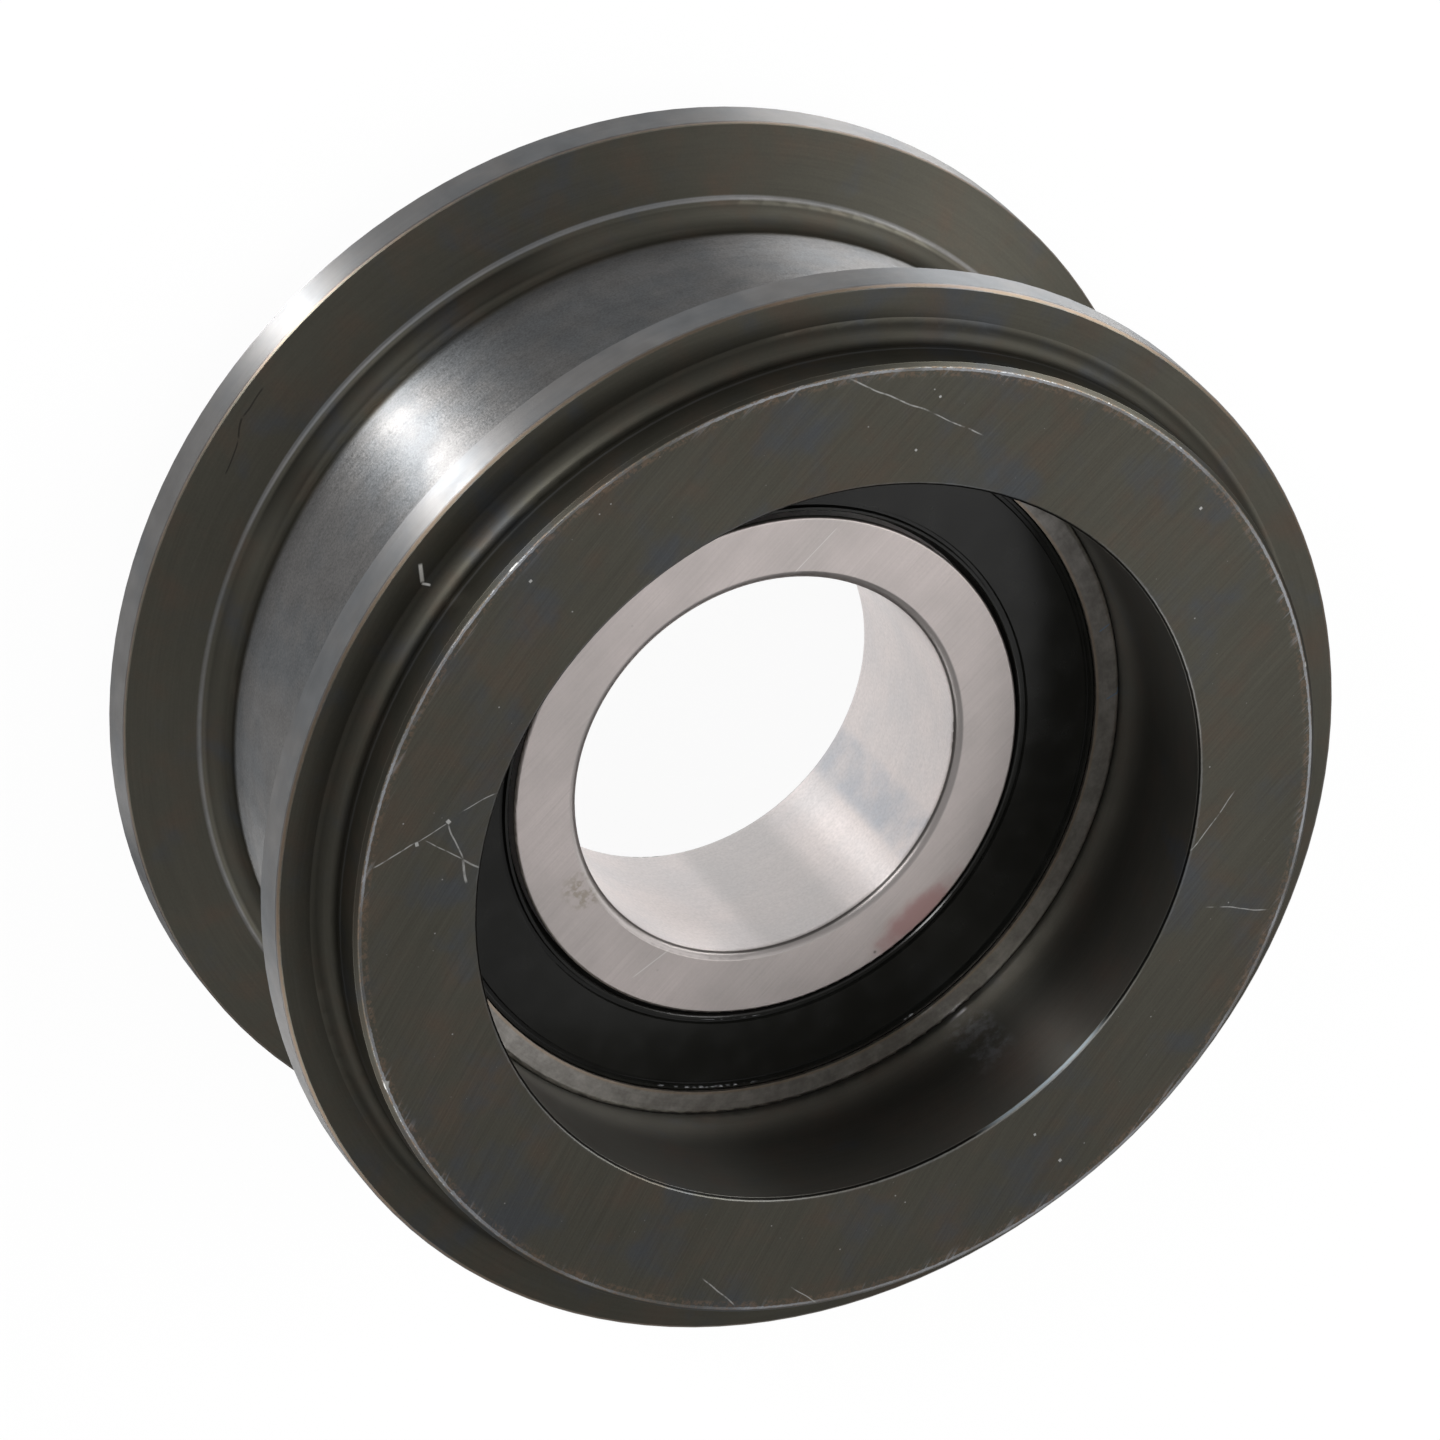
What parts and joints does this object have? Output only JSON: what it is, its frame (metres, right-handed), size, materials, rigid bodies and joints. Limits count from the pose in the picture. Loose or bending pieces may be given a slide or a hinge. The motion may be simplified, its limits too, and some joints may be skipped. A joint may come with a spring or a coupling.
{
  "type": "chain sheave",
  "caption": "Turned steel sheave with a wide flanged groove for a lift chain, running on a sealed ball bearing pressed into its bore.",
  "frame": {"origin": "centre of the rear boss face, on the axis of rotation, where the sheave stands", "axes": "+Z along the axis of rotation from the rear boss face to the front one; +X and +Y are radial, and ball_1 lies on +X"},
  "size_m": [0.125, 0.125, 0.065],
  "materials": {
    "black_oxide_steel": "turned, black oxide, oiled",
    "ground_ring_steel": "bare, finely ground",
    "seal_rubber": "moulded, slightly glossy",
    "cage_strip_steel": "pressed strip, oiled",
    "ball_steel": "lapped, mirror bright",
    "rivet_steel": "bare, headed"
  },
  "bodies": {
    "sheave": {"sheave_body": "black_oxide_steel", "bearing_outer_ring": "ground_ring_steel", "seal_front": "seal_rubber", "seal_rear": "seal_rubber"},
    "inner_ring": {"bearing_inner_ring": "ground_ring_steel"},
    "cage": {"cage_front": "cage_strip_steel", "cage_rear": "cage_strip_steel", "cage_rivet_1": "rivet_steel", "cage_rivet_2": "rivet_steel", "cage_rivet_3": "rivet_steel", "cage_rivet_4": "rivet_steel", "cage_rivet_5": "rivet_steel", "cage_rivet_6": "rivet_steel", "cage_rivet_7": "rivet_steel", "cage_rivet_8": "rivet_steel", "cage_rivet_9": "rivet_steel"},
    "ball_1": {"ball_1": "ball_steel"},
    "ball_2": {"ball_2": "ball_steel"},
    "ball_3": {"ball_3": "ball_steel"},
    "ball_4": {"ball_4": "ball_steel"},
    "ball_5": {"ball_5": "ball_steel"},
    "ball_6": {"ball_6": "ball_steel"},
    "ball_7": {"ball_7": "ball_steel"},
    "ball_8": {"ball_8": "ball_steel"},
    "ball_9": {"ball_9": "ball_steel"}
  },
  "joints": [
    {"name": "inner_ring_spin", "type": "hinge", "parent": "sheave", "child": "inner_ring", "pos_m": [0, 0, 0.0325], "axis": [0, 0, 1], "continuous": true},
    {"name": "cage_orbit", "type": "hinge", "parent": "sheave", "child": "cage", "pos_m": [0, 0, 0.0325], "axis": [0, 0, 1], "continuous": true},
    {"name": "ball_1_roll", "type": "hinge", "parent": "cage", "child": "ball_1", "pos_m": [0.0325, 0, 0.0325], "axis": [0, 0, 1], "continuous": true},
    {"name": "ball_2_roll", "type": "hinge", "parent": "cage", "child": "ball_2", "pos_m": [0.0249, 0.02089, 0.0325], "axis": [0, 0, 1], "continuous": true},
    {"name": "ball_3_roll", "type": "hinge", "parent": "cage", "child": "ball_3", "pos_m": [0.00564, 0.03201, 0.0325], "axis": [0, 0, 1], "continuous": true},
    {"name": "ball_4_roll", "type": "hinge", "parent": "cage", "child": "ball_4", "pos_m": [-0.01625, 0.02815, 0.0325], "axis": [0, 0, 1], "continuous": true},
    {"name": "ball_5_roll", "type": "hinge", "parent": "cage", "child": "ball_5", "pos_m": [-0.03054, 0.01112, 0.0325], "axis": [0, 0, 1], "continuous": true},
    {"name": "ball_6_roll", "type": "hinge", "parent": "cage", "child": "ball_6", "pos_m": [-0.03054, -0.01112, 0.0325], "axis": [0, 0, 1], "continuous": true},
    {"name": "ball_7_roll", "type": "hinge", "parent": "cage", "child": "ball_7", "pos_m": [-0.01625, -0.02815, 0.0325], "axis": [0, 0, 1], "continuous": true},
    {"name": "ball_8_roll", "type": "hinge", "parent": "cage", "child": "ball_8", "pos_m": [0.00564, -0.03201, 0.0325], "axis": [0, 0, 1], "continuous": true},
    {"name": "ball_9_roll", "type": "hinge", "parent": "cage", "child": "ball_9", "pos_m": [0.0249, -0.02089, 0.0325], "axis": [0, 0, 1], "continuous": true}
  ],
  "couplings": [
    {"joint": "cage_orbit", "follows": "inner_ring_spin", "ratio": 0.40231},
    {"joint": "ball_1_roll", "follows": "inner_ring_spin", "ratio": -2.4614},
    {"joint": "ball_2_roll", "follows": "inner_ring_spin", "ratio": -2.4614},
    {"joint": "ball_3_roll", "follows": "inner_ring_spin", "ratio": -2.4614},
    {"joint": "ball_4_roll", "follows": "inner_ring_spin", "ratio": -2.4614},
    {"joint": "ball_5_roll", "follows": "inner_ring_spin", "ratio": -2.4614},
    {"joint": "ball_6_roll", "follows": "inner_ring_spin", "ratio": -2.4614},
    {"joint": "ball_7_roll", "follows": "inner_ring_spin", "ratio": -2.4614},
    {"joint": "ball_8_roll", "follows": "inner_ring_spin", "ratio": -2.4614},
    {"joint": "ball_9_roll", "follows": "inner_ring_spin", "ratio": -2.4614}
  ]
}
